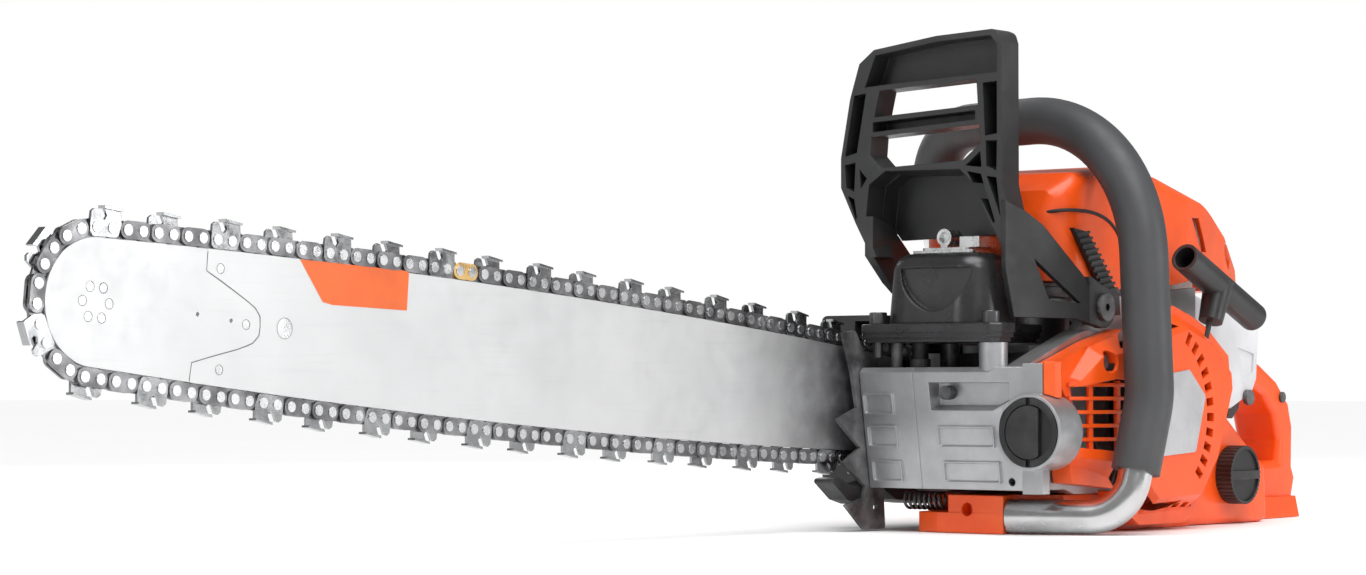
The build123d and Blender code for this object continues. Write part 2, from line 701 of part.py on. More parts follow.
with BuildPart() as spark_arrestor:
    with BuildSketch(Plane.XY.offset(166.3)):
        with Locations((86, -15)):
            RectangleRounded(28, 44, 3)
    extrude(amount=1.6)
    with BuildSketch(Plane.XY.offset(167.9)):
        with Locations((89.5, -14)):
            RectangleRounded(18, 34, 3)
    extrude(amount=1.6)
    with Locations((88, 3, 172.6)):
        Box(18, 14, 6.4)
    with BuildSketch(Plane.YZ.offset(84)):
        with Locations((-16, 175.6)):
            Circle(5.2)
        with Locations((-16, 171)):
            Rectangle(5, 4)
    extrude(amount=12)
    with BuildSketch(Plane.YZ.offset(96)):
        with Locations((-16, 175.6)):
            Circle(3.4)
    extrude(amount=-3, mode=Mode.SUBTRACT)
spark_arrestor.part.label = "spark_arrestor"
export_step(spark_arrestor.part, "parts/spark_arrestor.step")

# --------------------------------------------------- clutch side
with BuildPart() as oil_pump:
    with BuildSketch(across(-60.8)):
        with Locations((0, crank_z)):
            Circle(15)
        with Locations((14, crank_z - 12)):
            RectangleRounded(22, 16, 3)
        with Locations((0, crank_z)):
            Circle(shaft_radius + 0.4, mode=Mode.SUBTRACT)
    extrude(amount=5.8)
oil_pump.part.label = "oil_pump"
export_step(oil_pump.part, "parts/oil_pump.step")

tooth_profile = [(94, 0.8), (115, 0.8), (134, 16), (116, 20), (114, 27), (137, 41), (119, 50), (142, 67),
                 (122, 74), (127, 95), (136, 119), (124, 120), (112, 104), (101, 96), (96, 60), (96, 30)]

with BuildPart() as bumper_inner:
    with BuildSketch(across(-61)):
        Polygon(*tooth_profile, align=None)
        with Locations((104, 14)):
            Circle(2.2, mode=Mode.SUBTRACT)
    extrude(amount=2.6)
    fillet(bumper_inner.edges().filter_by(Axis.Y).group_by(Axis.Z)[0], radius=2)
bumper_inner.part.label = "bumper_inner"
export_step(bumper_inner.part, "parts/bumper_inner.step")

with BuildPart() as clutch_cover:
    with BuildSketch(across(-64)):
        Polygon((-50, 58), (-44, 30), (-20, 16), (30, 14), (78, 18), (98, 28), (101, 104), (98, 130), (64, 130),
                (46, 121), (-36, 118), (-50, 100), align=None)
    extrude(amount=-cover_right - 64)
    fillet(clutch_cover.edges().group_by(Axis.Y)[0], radius=9)
    # room for the drum and for the chain, open towards the bar
    with BuildSketch(across(-60)):
        with Locations((0, crank_z)):
            Circle(39.5)
        Polygon((0, 27), (60, 26), (110, 28), (110, 127.5), (80, 125), (60, 121), (40, 117),
                (0, 111), align=None)
    extrude(amount=20, mode=Mode.SUBTRACT)
    with BuildSketch(across(-79.8)):
        with Locations((0, crank_z)):
            Circle(39.5)
        Polygon((0, 31), (34, 31), (34, 109), (0, 109.5), align=None)
    extrude(amount=27, mode=Mode.SUBTRACT)
    with BuildSketch(across(-64.5)):
        Polygon((96, 110), (120, 110), (120, 24), (96, 24), align=None)
    extrude(amount=13, mode=Mode.SUBTRACT)
    # clamp face on the bar, stud holes
    with BuildSketch(across(-74.95)):
        with Locations((66, 75)):
            RectangleRounded(42, 34, 5)
    extrude(amount=8)
    with BuildSketch(across(-74)):
        with Locations((52, 73.9), (80, 76)):
            Circle(4.2)
    extrude(amount=40, mode=Mode.SUBTRACT)
    with BuildSketch(across(-104.5)):
        with Locations((52, 73.9), (80, 76)):
            Circle(10)
    extrude(amount=10, mode=Mode.SUBTRACT)
    # lug for the guard pivot
    with BuildSketch(across(-74)):
        Polygon((18, 115.8), (30, 116.8), (50, 119.5), (45, 138), (25, 138), align=None)
        with Locations((pivot_x, pivot_z)):
            Circle(10)
            Circle(4.05, mode=Mode.SUBTRACT)
    extrude(amount=8)
    # cooling slots over the drum
    with BuildSketch(across(-100)):
        for n in range(5):
            with Locations((-24 + 12 * n, 70)):
                SlotOverall(34, 4, rotation=90)
    extrude(amount=12, mode=Mode.SUBTRACT)
clutch_cover.part.label = "clutch_cover"
export_step(clutch_cover.part, "parts/clutch_cover.step")

with BuildPart() as bar_studs:
    with BuildSketch(across(-50)):
        with Locations((52, 73.9), (80, 76)):
            Circle(4)
    extrude(amount=60)
    with BuildSketch(across(-104.6)):
        with Locations((52, 73.9), (80, 76)):
            RegularPolygon(8, 6)
    extrude(amount=8)
bar_studs.part.label = "bar_studs"
export_step(bar_studs.part, "parts/bar_studs.step")

with BuildPart() as bumper_outer:
    with BuildSketch(across(-77.2)):
        Polygon((101.5, 44), (132, 40), (114, 52), (136, 66), (116, 76), (130, 92), (104, 97), (101.5, 92), align=None)
    extrude(amount=2.6)
bumper_outer.part.label = "bumper_outer"
export_step(bumper_outer.part, "parts/bumper_outer.step")

with BuildPart() as chain_catcher:
    with BuildSketch(across(-64)):
        Polygon((100, 20), (116, 16), (128, 19), (145, 31), (138, 32.5), (122, 27), (112, 28), (100, 30), align=None)
    extrude(amount=14)
    fillet(chain_catcher.edges().filter_by(Axis.Y), radius=1.5)
chain_catcher.part.label = "chain_catcher"
export_step(chain_catcher.part, "parts/chain_catcher.step")

# --------------------------------------------------- starter side
starter_outline = [(100, 100), (58, 113), (36, 118.5), (8, 127), (-30, 136), (-52, 130), (-70, 123), (-96, 106),
                   (-99, 86), (-93, 66), (-74, 33), (-52, 7), (-40, 3.5), (10, 3.5), (30, 14), (37, 26), (84, 30),
                   (88, 46), (90, 80), (100, 92)]
rope_dir = (0.39, 0.0, -0.9208)
rope_start = (-71.5, 66.0, 123.0)
pulley_radius = 40.0

with BuildPart() as starter_cover:
    with BuildSketch(across(53)):
        Polygon(*starter_outline, align=None)
    extrude(amount=-13)
    with BuildSketch(across(66)):
        Polygon((66, 110), (8, 124), (-30, 131), (-62, 121), (-88, 100), (-90, 84), (-70, 38), (-46, 12),
                (10, 10), (34, 30), (60, 36), (88, 42), (86, 92), align=None)
    extrude(amount=-(starter_face - 66), taper=38)
    # front of the cover falls back towards the crankcase face
    with BuildSketch(Plane.XY):
        Polygon((36, 78.5), (104, 68), (104, 90), (36, 90), align=None)
    extrude(amount=150, mode=Mode.SUBTRACT)
    # room for the pulley and the rope
    with BuildSketch(across(52)):
        with Locations((0, crank_z)):
            Circle(58)
    extrude(amount=-22, mode=Mode.SUBTRACT)
    with BuildSketch(across(52)):
        Polygon((84, 88), (48, 100), (30, 94), (30, 42), (84, 46), align=None)
    extrude(amount=-9, mode=Mode.SUBTRACT)
    with BuildSketch(Plane(origin=rope_start, z_dir=rope_dir)):
        Circle(2.3)
    extrude(amount=60, mode=Mode.SUBTRACT)
    with BuildSketch(across(57)):
        with Locations((0, crank_z)):
            Circle(6)
    extrude(amount=-17.5)
    # slatted air inlet in front of the flywheel
    with BuildSketch(across(50)):
        Polygon((86, 86), (50, 91), (32, 90), (32, 47), (84, 51), align=None)
    extrude(amount=-30, mode=Mode.SUBTRACT)
    for n in range(5):
        with BuildSketch(Plane(origin=(32.5, 75.8, 54.5 + 8 * n), x_dir=(0.988, -0.154, 0), z_dir=(0, 0, 1))):
            Rectangle(58, 2.4, align=(Align.MIN, Align.CENTER))
        extrude(amount=2.2)
    for x, y in ((70, 69.4), (46, 73.2)):
        with Locations((x, y, 68)):
            Box(3.4, 2.4, 44, rotation=(0, 0, -9))
    # arc of cooling slots round the badge
    for n in range(11):
        with BuildSketch(across(82)):
            with Locations((0, crank_z)):
                with PolarLocations(53.5, 1, start_angle=122 + 10 * n):
                    Rectangle(8, 5)
        extrude(amount=12, mode=Mode.SUBTRACT)
    # lattice of cooling pockets at the bottom
    with BuildSketch(across(72)):
        for n in range(5):
            for m in range(2):
                with Locations((-2 - 11 * n, 28 - 11 * m)):
                    Polygon((-4, -3.5), (3, -3.5), (5, 3.5), (-2, 3.5), align=None)
    extrude(amount=8, mode=Mode.SUBTRACT)
    # triangular pockets on top and the screw seat
    with BuildSketch(across(76)):
        Polygon((38, 112), (24, 116), (26, 106), align=None)
        Polygon((22, 115), (12, 118), (24, 104), align=None)
    extrude(amount=12, mode=Mode.SUBTRACT)
    with BuildSketch(across(80)):
        with Locations((56, 101)):
            Circle(6.5)
    extrude(amount=12, mode=Mode.SUBTRACT)
    with BuildSketch(across(68.5)):
        with Locations((56, 101)):
            Circle(2.5)
    extrude(amount=22, mode=Mode.SUBTRACT)
    # front edge of the side panel
    with BuildSketch(Plane.XY.offset(41)):
        Polygon((98, 61.7), (107.5, 61.7), (103.6, 67.2), (98, 68.2), align=None)
    extrude(amount=60)
    # clearance round the oil filler
    with BuildSketch(Plane.YZ.offset(91.6)):
        with Locations((oil_y, oil_z)):
            Circle(22.8)
    extrude(amount=40, mode=Mode.SUBTRACT)
starter_cover.part.label = "starter_cover"
export_step(starter_cover.part, "parts/starter_cover.step")

with BuildPart() as starter_badge:
    with BuildSketch(across(starter_face + 0.05)):
        Polygon((-27, 97), (-46, 81), (-34, 47), (4, 45), (24, 58), (18, 92), align=None)
    extrude(amount=-1.2)
    fillet(starter_badge.edges().filter_by(Axis.Y), radius=3)
starter_badge.part.label = "starter_badge"
export_step(starter_badge.part, "parts/starter_badge.step")

with BuildPart() as starter_pulley:
    with BuildSketch(across(61)):
        with Locations((0, crank_z)):
            Circle(pulley_radius)
            Circle(6.06, mode=Mode.SUBTRACT)
            with PolarLocations(24, 6):
                Circle(6, mode=Mode.SUBTRACT)
    extrude(amount=-8.5)
    with BuildSketch(across(63.5)):
        with Locations((0, crank_z)):
            Circle(pulley_radius + 1)
            Circle(pulley_radius - 5, mode=Mode.SUBTRACT)
    extrude(amount=-3.5, mode=Mode.SUBTRACT)
starter_pulley.part.label = "starter_pulley"
export_step(starter_pulley.part, "parts/starter_pulley.step")

with BuildPart() as recoil_spring:
    with BuildSketch(across(70.2)):
        with Locations((0, crank_z)):
            for n in range(6):
                Circle(12 + 3.4 * n)
                Circle(11.2 + 3.4 * n, mode=Mode.SUBTRACT)
    extrude(amount=-3)
recoil_spring.part.label = "recoil_spring"
export_step(recoil_spring.part, "parts/recoil_spring.step")

grip_dir = (-0.9208, 0.0, -0.39)
with BuildPart() as starter_handle:
    with BuildSketch(Plane(origin=(-44, 66, 166), z_dir=grip_dir)):
        Circle(9)
    extrude(amount=94)
    fillet(starter_handle.edges().group_by(Axis.X)[0], radius=4)
    with BuildSketch(Plane(origin=(-85, 66, 152), z_dir=rope_dir)):
        Circle(9.4)
    extrude(amount=27, taper=4)
    with BuildSketch(Plane(origin=(-43, 66, 166.4), z_dir=grip_dir)):
        Circle(6.8)
    extrude(amount=16, mode=Mode.SUBTRACT)
    with BuildSketch(Plane(origin=rope_start, z_dir=rope_dir).offset(-12)):
        Circle(1.8)
    extrude(amount=40, mode=Mode.SUBTRACT)
starter_handle.part.label = "starter_handle"
export_step(starter_handle.part, "parts/starter_handle.step")

with BuildPart() as starter_rope:
    with BuildSketch(Plane(origin=rope_start, z_dir=rope_dir).offset(-12)):
        Circle(1.75)
    extrude(amount=108)
starter_rope.part.label = "starter_rope"
export_step(starter_rope.part, "parts/starter_rope.step")

with BuildPart() as ignition_module:
    with Locations((-2, 29, 126)):
        Box(40, 14, 14)
    fillet(ignition_module.edges().filter_by(Axis.Y), radius=3)
ignition_module.part.label = "ignition_module"
export_step(ignition_module.part, "parts/ignition_module.step")

# --------------------------------------------------- top cover
cover_profile = [(62, 150), (64, 188), (58, 204), (42, 215), (-8, 221.5), (-50, 217), (-104, 204), (-152, 183),
                 (-186, 163), (-203, 149), (-90, 154), (-64, 150), (25, 144)]
# plan lines along which the cover narrows towards the rear
narrow_left = [(-78, 46.4), (-108, 42), (-152, 31), (-186, 19), (-215, 4)]
narrow_right = [(-78, -62.4), (-108, -60), (-152, -53), (-186, -43), (-215, -28)]
with BuildPart(mode=Mode.PRIVATE) as cover_room:
    with BuildSketch(across(60)):
        Polygon(*cover_profile, align=None)
        offset(amount=-2.6)
        with Locations((-75, 145)):
            Rectangle(272, 26)
    extrude(amount=130)
    with BuildSketch(Plane.XY.offset(100)):
        with Locations((-75, -8)):
            RectangleRounded(272.5, 102.5, 24)
        Polygon(*[(x + 1, y - 2.8) for x, y in narrow_left], (-230, 0), (-230, 60), (-70, 60), align=None,
                mode=Mode.SUBTRACT)
        Polygon(*[(x + 1, y + 2.8) for x, y in narrow_right], (-230, -20), (-230, -80), (-70, -80), align=None,
                mode=Mode.SUBTRACT)
    extrude(amount=140, mode=Mode.INTERSECT)

with BuildPart() as cylinder_cover:
    with BuildSketch(across(60)):
        Polygon(*cover_profile, align=None)
    extrude(amount=130)
    with BuildSketch(Plane.XY.offset(100)):
        with Locations((-75, -8)):
            RectangleRounded(278, 108, 26)
    extrude(amount=140, mode=Mode.INTERSECT)
    top_ring = cylinder_cover.edges().filter_by(lambda e: e.center().Z > 160 and abs(e.center().Y + 8) > 30)
    fillet(top_ring, radius=9)
    with BuildSketch(Plane.XY.offset(100)):
        Polygon(*narrow_left, (-230, 0), (-230, 60), (-70, 60), align=None)
        Polygon(*narrow_right, (-230, -20), (-230, -80), (-70, -80), align=None)
    extrude(amount=140, mode=Mode.SUBTRACT)
    add(cover_room.part, mode=Mode.SUBTRACT)
    # opening in front for the muffler
    with Locations((65, -20, 151)):
        Box(30, 56, 26, mode=Mode.SUBTRACT)
    # slot and oval opening behind the starter side
    with BuildSketch(across(60)):
        Polygon((-88, 193), (-99, 193), (-112, 172), (-103, 172), align=None)
    extrude(amount=24, mode=Mode.SUBTRACT)
    with BuildSketch(Plane(origin=(-160, 27, 171), z_dir=(-0.35, 0.85, 0.4))):
        SlotOverall(20, 9, rotation=60)
    extrude(amount=12, both=True, mode=Mode.SUBTRACT)
cylinder_cover.part.label = "cylinder_cover"
export_step(cylinder_cover.part, "parts/cylinder_cover.step")

with BuildPart() as cover_latch:
    with BuildSketch(across(46.6)):
        Polygon((56, 181), (40, 179), (5, 141), (4, 130), (18, 129), (22, 142), align=None)
    extrude(amount=-3)
    for n in range(11):
        with BuildSketch(across(49.6)):
            with Locations((15.5 + 3.1 * n, 145 + 3.3 * n)):
                Rectangle(14, 1.7, rotation=-8)
        extrude(amount=-1.4)
cover_latch.part.label = "cover_latch"
export_step(cover_latch.part, "parts/cover_latch.step")

with BuildPart() as air_filter:
    with Locations((-129, -16, 150)):
        Box(40, 60, 44)
    fillet(air_filter.edges().filter_by(Axis.Z), radius=12)
    fillet(air_filter.edges().group_by(Axis.Z)[-1], radius=8)
air_filter.part.label = "air_filter"
export_step(air_filter.part, "parts/air_filter.step")

with BuildPart() as carburettor:
    with Locations((-86, cyl_y, 146)):
        Box(40, 42, 38)
    fillet(carburettor.edges().filter_by(Axis.X), radius=4)
    with Locations((-86, cyl_y, 146)):
        Cylinder(11, 42, rotation=(0, 90, 0), mode=Mode.SUBTRACT)
        Cylinder(2.05, 60, rotation=(90, 0, 0), mode=Mode.SUBTRACT)
carburettor.part.label = "carburettor"
export_step(carburettor.part, "parts/carburettor.step")

with BuildPart() as throttle_plate:
    with Locations((-86, cyl_y, 146)):
        Cylinder(2, 52, rotation=(90, 0, 0))
        Cylinder(10.7, 1.6, rotation=(0, 82, 0))
    with BuildSketch(across(cyl_y + 24)):
        Polygon((-89, 143), (-83, 143), (-82, 162), (-88, 162), align=None)
    extrude(amount=-2)
throttle_plate.part.label = "throttle_plate"
export_step(throttle_plate.part, "parts/throttle_plate.step")

with BuildPart() as intake_boot:
    with BuildSketch(Plane.YZ.offset(-65.7)):
        with Locations((cyl_y, 146)):
            Circle(17)
    with BuildSketch(Plane.YZ.offset(-54)):
        with Locations((cyl_y, 146)):
            Circle(13)
    with BuildSketch(Plane.YZ.offset(-42.3)):
        with Locations((cyl_y, 146)):
            Circle(15)
    loft()
    with Locations((-54, cyl_y, 146)):
        Cylinder(9.5, 30, rotation=(0, 90, 0), mode=Mode.SUBTRACT)
intake_boot.part.label = "intake_boot"
export_step(intake_boot.part, "parts/intake_boot.step")

with BuildPart() as rear_panel:
    with BuildSketch(across(32)):
        Polygon((-93, 146), (-130, 136), (-177, 126), (-174, 92), (-168, 83), (-142, 73), (-104, 73), (-93, 92),
                align=None)
    extrude(amount=-10)
    fillet(rear_panel.edges().group_by(Axis.Y)[-1], radius=2)
    with BuildSketch(across(42.5)):
        Polygon((-150, 112), (-170, 108), (-168, 96), (-156, 88), align=None)
    extrude(amount=1.6, mode=Mode.SUBTRACT)
rear_panel.part.label = "rear_panel"
export_step(rear_panel.part, "parts/rear_panel.step")

# --------------------------------------------------- tank, rear handle, front handle
loop_outer = [(-120, 60), (-120, 104), (-140, 116), (-170, 117), (-200, 111), (-224, 102), (-246, 91), (-262, 76),
              (-267, 60), (-266, 34), (-270, 26), (-264, 8), (-226, 1), (-200, 0), (-120, 0)]
loop_hole = [(-176, 80), (-186, 87), (-212, 87), (-228, 81), (-241, 69), (-247, 52), (-245, 38), (-200, 36),
             (-180, 44), (-172, 62)]

with BuildPart() as tank_handle:
    with BuildSketch(across(17)):
        Polygon(*loop_outer, align=None)
    extrude(amount=34)
    with BuildSketch(across(25)):
        Polygon(*loop_hole, align=None)
    extrude(amount=50, mode=Mode.SUBTRACT)
    rims = tank_handle.edges().filter_by(lambda e: abs(abs(e.center().Y) - 17) < 0.1 and e.center().X < -130)
    fillet(rims, radius=5)
    with BuildSketch(across(47)):
        Polygon((-62, 0), (-62, 60), (-68, 66), (-128, 68), (-148, 54), (-176, 36), (-178, 2), (-172, 0),
                align=None)
    extrude(amount=97)
    fillet(tank_handle.edges().filter_by(lambda e: abs(e.center().Y - 47) < 0.1 and e.center().X < -66), radius=4)
    # foot of the rear handle
    with BuildSketch(Plane.XY):
        Polygon((-268, 20), (-268, -34), (-250, -46), (-150, -49), (-150, 30), (-200, 26), align=None)
    extrude(amount=14, taper=8)
    # arm under the crankcase, the lip beneath the front spring and the handle clamp
    with BuildSketch(Plane.XY):
        Polygon((-80, -38), (94, -36), (98, -20), (100, 28.5), (80.8, 21.6), (76, 20), (62, 46), (-80, 46), align=None)
    extrude(amount=12)
    with BuildSketch(Plane.XY.offset(12)):
        Polygon((-80, -38), (82, -38), (84, -13), (98, -12), (100, 28.5), (80.8, 21.6), (76, 20), (62, 46), (-80, 46),
                align=None)
    extrude(amount=10.4)
    with BuildSketch(Plane.YZ.offset(90)):
        with Locations((2, 14)):
            Circle(4)
    extrude(amount=10, mode=Mode.SUBTRACT)
    # right lug for the front handle
    with Locations((-68, -56, 86)):
        Box(24, 16, 52)
    # fuel filler, trigger slot, lock slot
    with BuildSketch(across(48)):
        with Locations((-130, 31)):
            Circle(14)
    extrude(amount=30, mode=Mode.SUBTRACT)
    with Locations((-202, 0, 88)):
        Box(36, 12, 18, mode=Mode.SUBTRACT)
    with BuildSketch(across(5.6)):
        Polygon((-170, 100.4), (-232, 100.4), (-232, 125), (-170, 125), align=None)
    extrude(amount=11.2, mode=Mode.SUBTRACT)
    with Locations((-192, 0, 90.5)):
        Cylinder(2, 40, rotation=(90, 0, 0), mode=Mode.SUBTRACT)
    with Locations((-177, 0, 105)):
        Cylinder(1.5, 40, rotation=(90, 0, 0), mode=Mode.SUBTRACT)
    # side wall of the carburettor room, ribbed
    with BuildSketch(across(-49.5)):
        Polygon((-84, 45), (-84, 104), (-160, 104), (-152, 45), align=None)
    extrude(amount=7.5)
    with BuildSketch(across(-53)):
        Polygon((-84, 104), (-84, 144), (-150, 146), (-168, 120), (-160, 104), align=None)
    extrude(amount=4)
    for n in range(6):
        with Locations((-90 - 11 * n, -58.2, 124)):
            Box(3, 2.6, 30)
tank_handle.part.label = "tank_handle"
export_step(tank_handle.part, "parts/tank_handle.step")

with BuildPart() as throttle_trigger:
    with BuildSketch(across(5.4)):
        Polygon((-188, 94), (-196, 95), (-214, 89), (-218, 84), (-213, 72), (-205, 66), (-200, 68), (-197, 80),
                (-187.5, 86), align=None)
        with Locations((-192, 90.5)):
            Circle(2.02, mode=Mode.SUBTRACT)
    extrude(amount=10.8)
throttle_trigger.part.label = "throttle_trigger"
export_step(throttle_trigger.part, "parts/throttle_trigger.step")

with BuildPart() as throttle_lock:
    with BuildSketch(across(5.2)):
        Polygon((-174, 102), (-174, 108), (-200, 117), (-220, 117), (-228, 111), (-222, 106.5), (-190, 103.5),
                (-178, 101.6), align=None)
        with Locations((-177, 105)):
            Circle(1.52, mode=Mode.SUBTRACT)
    extrude(amount=10.4)
throttle_lock.part.label = "throttle_lock"
export_step(throttle_lock.part, "parts/throttle_lock.step")

with BuildPart() as stop_lever:
    with BuildSketch(across(17.3)):
        with Locations((-152, 100)):
            Circle(7)
        Polygon((-157, 102), (-147, 102), (-144, 122), (-151, 124), align=None)
    extrude(amount=-5)
stop_lever.part.label = "stop_lever"
export_step(stop_lever.part, "parts/stop_lever.step")

with BuildPart() as fuel_cap:
    with BuildSketch(across(47.4)):
        with Locations((-130, 31)):
            Circle(18.5)
            with PolarLocations(18.6, 40):
                Circle(0.7, mode=Mode.SUBTRACT)
    extrude(amount=-11)
    with BuildSketch(across(47.4)):
        with Locations((-130, 31)):
            Circle(13.6)
    extrude(amount=12)
    with BuildSketch(across(59)):
        with Locations((-130, 31)):
            Circle(16.5)
            Rectangle(40, 5.5, mode=Mode.SUBTRACT)
    extrude(amount=1.8, mode=Mode.SUBTRACT)
fuel_cap.part.label = "fuel_cap"
export_step(fuel_cap.part, "parts/fuel_cap.step")

with BuildPart() as oil_cap:
    with BuildSketch(Plane.YZ.offset(100.4)):
        with Locations((oil_y, oil_z)):
            Circle(20)
    extrude(amount=13.6)
    with BuildSketch(Plane.YZ.offset(114)):
        with Locations((oil_y, oil_z)):
            Circle(20)
            Circle(16.2, mode=Mode.SUBTRACT)
            Rectangle(3.2, 44, mode=Mode.SUBTRACT)
    extrude(amount=2)
oil_cap.part.label = "oil_cap"
export_step(oil_cap.part, "parts/oil_cap.step")

with BuildPart() as oil_cap_tab:
    with BuildSketch(Plane.YZ.offset(114.4)):
        with Locations((oil_y, oil_z)):
            Circle(15.4)
            with Locations((14.5, 0)):
                Rectangle(15, 34, mode=Mode.SUBTRACT)
    extrude(amount=2)
oil_cap_tab.part.label = "oil_cap_tab"
export_step(oil_cap_tab.part, "parts/oil_cap_tab.step")

tube_corners = [(-68, -64.3, 100), (-68, -88, 100), (-4, -90, 178), (2, -90, 249), (33.6, 80.8, 250),
                (47.4, 96.5, 80), (66, 92, 10.3), (90.7, 25.5, 10.3)]
with BuildPart() as handle_tube:
    with BuildLine() as tube_path:
        FilletPolyline(*tube_corners, radius=[18, 36, 36, 95, 70, 26])
    with BuildSketch(Plane(origin=tube_path.line @ 0, z_dir=tube_path.line % 0)):
        Circle(tube_radius)
        Circle(tube_radius - 1.6, mode=Mode.SUBTRACT)
    sweep()
handle_tube.part.label = "handle_tube"
export_step(handle_tube.part, "parts/handle_tube.step")

grip_corners = [(-2.65, -90, 194), (2, -90, 249), (33.6, 80.8, 250), (47.4, 96.5, 80), (58.9, 93.7, 37)]
with BuildPart() as handle_grip:
    with BuildLine() as grip_path:
        FilletPolyline(*grip_corners, radius=[36, 95, 70])
    with BuildSketch(Plane(origin=grip_path.line @ 0, z_dir=grip_path.line % 0)):
        Circle(grip_radius)
        Circle(tube_radius + 0.3, mode=Mode.SUBTRACT)
    sweep()
handle_grip.part.label = "handle_grip"
export_step(handle_grip.part, "parts/handle_grip.step")

with BuildPart() as av_spring:
    with BuildLine() as coil:
        Helix(pitch=3.6, height=28, radius=4.7, center=(91.5, -46, 18.4), direction=(0, 1, 0))
    with BuildSketch(Plane(origin=coil.line @ 0, z_dir=coil.line % 0)):
        Circle(0.9)
    sweep()
av_spring.part.label = "av_spring"
export_step(av_spring.part, "parts/av_spring.step")

# --------------------------------------------------- hand guard
guard_back = 80.0
guard_front = 98.0
guard_outline = [(-66, 291), (-20, 296.5), (20, 298), (25, 296), (27, 290), (27, 240), (27, 206), (31, 190),
                 (32, 166), (26.5, 166), (20, 180), (8, 206), (-3, 215), (-58, 216), (-69, 209), (-72, 184),
                 (-60, 165), (-68, 165), (-80, 186), (-91, 208), (-91, 226), (-84, 262), (-77, 283)]
guard_windows = [[(-62, 266), (9, 269), (10, 253.5), (-66, 250)],
                 [(-68, 238), (11, 242), (12, 231), (-1, 221), (-61, 219), (-69, 227)]]
guard_cells = [[(-73, 268.5), (-65, 287.5), (-20, 293), (19, 294.5), (23.5, 289), (23.5, 272.5), (-60, 269.3)],
               [(-81, 264), (-72, 265), (-79, 229), (-88, 227)],
               [(-88, 222), (-80, 223), (-81, 205), (-87, 208)],
               [(-77, 219), (-71.5, 213), (-76, 207)],
               [(-86, 203), (-81, 201), (-79, 190), (-80, 188)],
               [(-67, 247), (8, 250.4), (8, 245), (-67, 241)],
               [(13.5, 266.5), (23.5, 267), (23.5, 236), (15, 235)],
               [(15.5, 232), (23.5, 232), (23, 214), (16, 217)],
               [(11.5, 226), (12.5, 216.5), (1, 218)],
               [(2, 214.5), (12, 212.5), (22, 184), (20.5, 183)],
               [(16, 211), (23, 210), (26, 186)]]

arm_dir = (-0.898, 0.44, 0)
with BuildPart() as hand_guard:
    with BuildSketch(Plane.YZ.offset(guard_back)):
        Polygon(*guard_outline, align=None)
        for window in guard_windows:
            Polygon(*window, align=None, mode=Mode.SUBTRACT)
    extrude(amount=guard_front - guard_back)
    fillet(hand_guard.edges().filter_by(Axis.X).group_by(Axis.Z)[-3:-1], radius=5)
    with BuildSketch(Plane.YZ.offset(guard_front)):
        for cell in guard_cells:
            Polygon(*cell, align=None)
    extrude(amount=-15, mode=Mode.SUBTRACT)
    # hollow heat shield behind the arch
    with BuildSketch(Plane.YZ.offset(66)):
        Polygon((26.5, 178), (20, 186), (8, 209), (-3, 218), (-58, 219), (-71, 211), (-74, 186), (-66, 176),
                align=None)
    extrude(amount=16)
    with BuildSketch(Plane.YZ.offset(69)):
        Polygon((30, 160), (17, 182), (6, 205), (-4, 214), (-57, 215), (-68, 208), (-71, 184), (-60, 160),
                align=None)
    extrude(amount=40, mode=Mode.SUBTRACT, taper=-4)
    # left arm back to its pivot
    with BuildSketch(Plane(origin=(98, 29.5, 0), x_dir=arm_dir, z_dir=(0.44, 0.898, 0))):
        with BuildLine():
            Polyline((-1.5, 196), (12, 190), (24, 182), (53, 151), (56, 145), (56, 124), (46, 127), (4, 127.5),
                     (-1.5, 156), (-1.5, 196))
        make_face()
        Polygon((18, 162), (28, 138), (50, 136), align=None, mode=Mode.SUBTRACT)
    extrude(amount=2.6, both=True)
    with BuildSketch(across(52.4)):
        with Locations((pivot_x, pivot_z)):
            Circle(12.6)
        Polygon((35, 146.6), (49, 152), (49, 124), (35, 121.4), align=None)
    extrude(amount=-5)
    # right arm
    with BuildSketch(across(-67)):
        with Locations((pivot_x, pivot_z)):
            Circle(10.5)
        Polygon((30, 143.6), (80, 186), (98, 190), (98, 166), (80, 150), (42, 125.5), align=None)
    extrude(amount=6)
    with BuildSketch(across(60)):
        with Locations((pivot_x, pivot_z)):
            Circle(4.08)
    extrude(amount=140, mode=Mode.SUBTRACT)
hand_guard.part.label = "hand_guard"
export_step(hand_guard.part, "parts/hand_guard.step")

with BuildPart() as pivot_pins:
    with Locations((-192, 0, 90.5)):
        Cylinder(1.95, 33, rotation=(90, 0, 0))
    with Locations((-177, 0, 105)):
        Cylinder(1.45, 33, rotation=(90, 0, 0))
    with Locations((pivot_x, 52, pivot_z)):
        Cylinder(4, 16, rotation=(90, 0, 0))
    with BuildSketch(across(57.8)):
        with Locations((pivot_x, pivot_z)):
            Circle(8.3)
    extrude(amount=-2.4)
    with BuildSketch(across(60.4)):
        with Locations((pivot_x, pivot_z)):
            RegularPolygon(2.4, 6)
    extrude(amount=2, mode=Mode.SUBTRACT)
    with Locations((pivot_x, -74, pivot_z)):
        Cylinder(4, 15.6, rotation=(90, 0, 0))
pivot_pins.part.label = "pivot_pins"
export_step(pivot_pins.part, "parts/pivot_pins.step")

